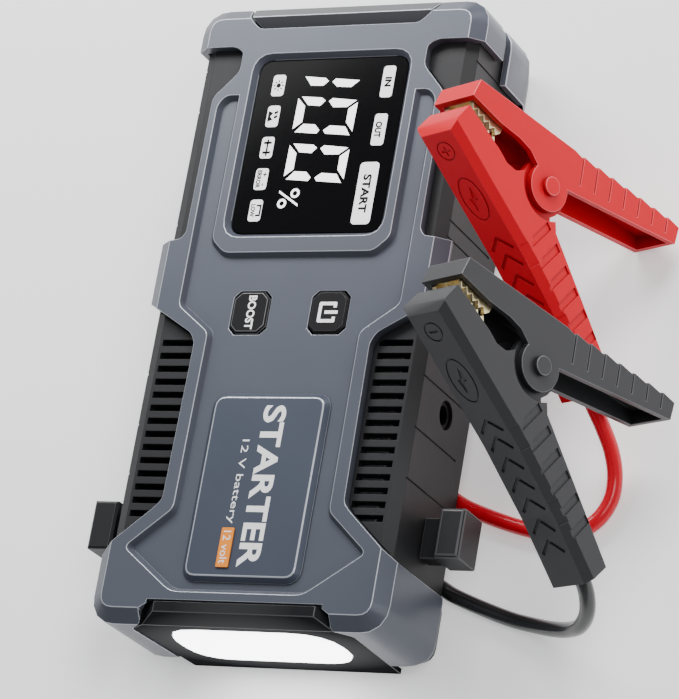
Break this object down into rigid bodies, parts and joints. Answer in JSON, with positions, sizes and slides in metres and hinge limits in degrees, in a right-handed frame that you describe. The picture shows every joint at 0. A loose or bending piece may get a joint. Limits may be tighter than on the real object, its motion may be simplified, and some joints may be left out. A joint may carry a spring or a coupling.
{
  "type": "jump starter pack",
  "caption": "Handheld car jump starter: ribbed battery pack with display, lamp and side hooks, and two short leads to a red and a black spring clamp.",
  "frame": {"origin": "on the surface the pack lies on, under the middle of the pack", "axes": "+X across the pack, +Y towards the head end with the sockets, +Z out of the front cover"},
  "size_m": [0.1885, 0.2108, 0.1109],
  "materials": {
    "cover": "satin",
    "name_plate": "satin",
    "casing": "fine moulded grain",
    "dark_trim": "satin",
    "grey_strip": "satin",
    "gloss_black": "gloss",
    "orange_tag": "satin",
    "rubber": "matte",
    "lamp_lens": "frosted, lit",
    "board": "solder mask",
    "bright_metal": "satin",
    "brass": "stamped",
    "cell_foil": "foil",
    "red_plastic": "satin",
    "black_plastic": "satin",
    "red_silicone": "gloss",
    "black_silicone": "gloss"
  },
  "bodies": {
    "pack": {"front_cover": "cover", "display_window": "gloss_black", "display_module": "board", "name_plate": "name_plate", "badge_tag": "orange_tag", "mid_casing": "casing", "rear_cover": "casing", "head_bumper": "cover", "tail_foot": "rubber", "lamp_panel": "dark_trim", "lamp_lens": "lamp_lens", "lamp_reflector": "bright_metal", "lamp_board": "board", "right_hook": "dark_trim", "left_hook": "dark_trim", "dc_socket": "dark_trim", "usb_c_socket": "bright_metal", "usb_a_socket": "bright_metal", "battery_cell_1": "cell_foil", "battery_cell_2": "cell_foil", "battery_cell_3": "cell_foil", "main_board": "board", "button_board": "board", "boost_switch": "bright_metal", "power_switch": "bright_metal", "heat_sink": "bright_metal", "start_relay": "dark_trim", "lead_outlet": "dark_trim", "red_lead_boot": "red_plastic", "black_lead_boot": "black_plastic", "red_lead": "red_silicone", "black_lead": "black_silicone", "rear_screw_1": "bright_metal", "rear_screw_2": "bright_metal", "rear_screw_3": "bright_metal", "rear_screw_4": "bright_metal", "rear_screw_5": "bright_metal", "red_clamp_lower_half": "red_plastic", "red_clamp_lower_jaw": "brass", "red_clamp_pivot_pin": "red_plastic", "red_clamp_spring": "bright_metal", "black_clamp_lower_half": "black_plastic", "black_clamp_lower_jaw": "brass", "black_clamp_pivot_pin": "black_plastic", "black_clamp_spring": "bright_metal"},
    "port_cover": {"port_cover": "grey_strip"},
    "boost_button": {"boost_button": "dark_trim"},
    "power_button": {"power_button": "dark_trim"},
    "red_clamp_upper": {"red_clamp_upper_half": "red_plastic", "red_clamp_upper_jaw": "brass"},
    "black_clamp_upper": {"black_clamp_upper_half": "black_plastic", "black_clamp_upper_jaw": "brass"}
  },
  "joints": [
    {"name": "boost_press", "type": "slide", "parent": "pack", "child": "boost_button", "axis": [0, 0, -1], "range_m": [0, 0.0008], "stiffness_N_per_m": 500, "springref_m": -0.0006},
    {"name": "power_press", "type": "slide", "parent": "pack", "child": "power_button", "axis": [0, 0, -1], "range_m": [0, 0.0008], "stiffness_N_per_m": 500, "springref_m": -0.0006},
    {"name": "port_cover_open", "type": "hinge", "parent": "pack", "child": "port_cover", "pos_m": [0, 0.1042, 0.0274], "axis": [-1, 0, 0], "range_deg": [0, 105]},
    {"name": "red_clamp_open", "type": "hinge", "parent": "pack", "child": "red_clamp_upper", "pos_m": [0.0805, 0.0335, 0.0556], "axis": [-0.9242, 0, -0.3819], "range_deg": [0, 34], "stiffness_Nm_per_rad": 0.35, "springref_deg": -20.05},
    {"name": "black_clamp_open", "type": "hinge", "parent": "pack", "child": "black_clamp_upper", "pos_m": [0.09385, -0.03036, 0.07003], "axis": [-0.9242, 0, -0.3819], "range_deg": [0, 34], "stiffness_Nm_per_rad": 0.35, "springref_deg": -20.05}
  ]
}
